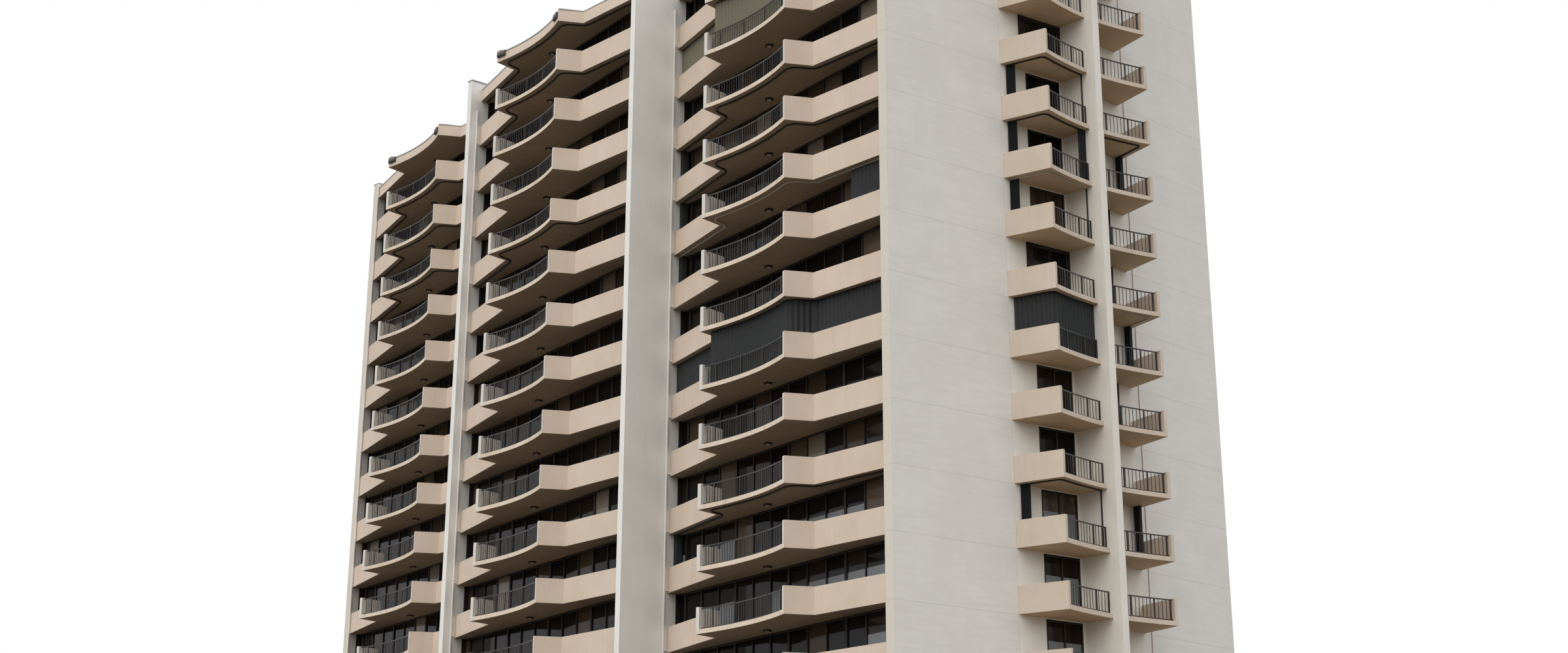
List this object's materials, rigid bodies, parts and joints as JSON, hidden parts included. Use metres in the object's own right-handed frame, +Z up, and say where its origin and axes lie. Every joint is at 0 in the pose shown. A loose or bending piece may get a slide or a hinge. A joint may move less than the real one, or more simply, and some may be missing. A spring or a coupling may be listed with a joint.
{
  "type": "apartment tower, scale model at 1:2",
  "caption": "Staggered high-rise apartment tower with prow-shaped balconies, railings, tall cross walls and swept gable tops.",
  "frame": {"origin": "middle of the footprint's bounding box, at ground level", "axes": "+X along the front towards the near end with the sunlit gable, +Y from the front to the rear, +Z up"},
  "size_m": [30.5086, 13.9328, 25.61],
  "materials": {
    "cream_concrete": "painted render",
    "pale_concrete": "painted render",
    "window_glass": "dark tinted glass",
    "dark_metal": "satin dark bronze paint",
    "pipe_metal": "painted to match the walls",
    "shutter_metal": "dark grey paint"
  },
  "bodies": {
    "root": {"cross_wall_far": "pale_concrete", "cross_wall_near": "pale_concrete", "drain_pipes": "pipe_metal", "floors_far": "cream_concrete", "floors_middle": "cream_concrete", "floors_near": "cream_concrete", "front_parapets_far": "cream_concrete", "front_parapets_middle": "cream_concrete", "front_parapets_near": "cream_concrete", "front_railings_far": "dark_metal", "front_railings_middle": "dark_metal", "front_railings_near": "dark_metal", "gable_balconies_far": "cream_concrete", "gable_balconies_near": "cream_concrete", "gable_canopy_far": "cream_concrete", "gable_canopy_near": "cream_concrete", "gable_doors_far": "window_glass", "gable_doors_near": "window_glass", "gable_fin_far": "pale_concrete", "gable_fin_near": "pale_concrete", "gable_lintels_far": "pale_concrete", "gable_lintels_near": "pale_concrete", "gable_parapets_far": "cream_concrete", "gable_parapets_near": "cream_concrete", "gable_piers_far": "pale_concrete", "gable_piers_near": "pale_concrete", "gable_railings_far": "dark_metal", "gable_railings_near": "dark_metal", "gable_walls_far": "pale_concrete", "gable_walls_near": "pale_concrete", "glazing_far": "window_glass", "glazing_middle": "window_glass", "glazing_near": "window_glass", "ground_slab": "cream_concrete", "rear_parapets_far": "cream_concrete", "rear_parapets_middle": "cream_concrete", "rear_parapets_near": "cream_concrete", "rear_railings_far": "dark_metal", "rear_railings_middle": "dark_metal", "rear_railings_near": "dark_metal", "roof": "cream_concrete", "roof_eaves": "cream_concrete", "roof_edges": "cream_concrete", "storm_shutters": "shutter_metal"}
  },
  "joints": []
}
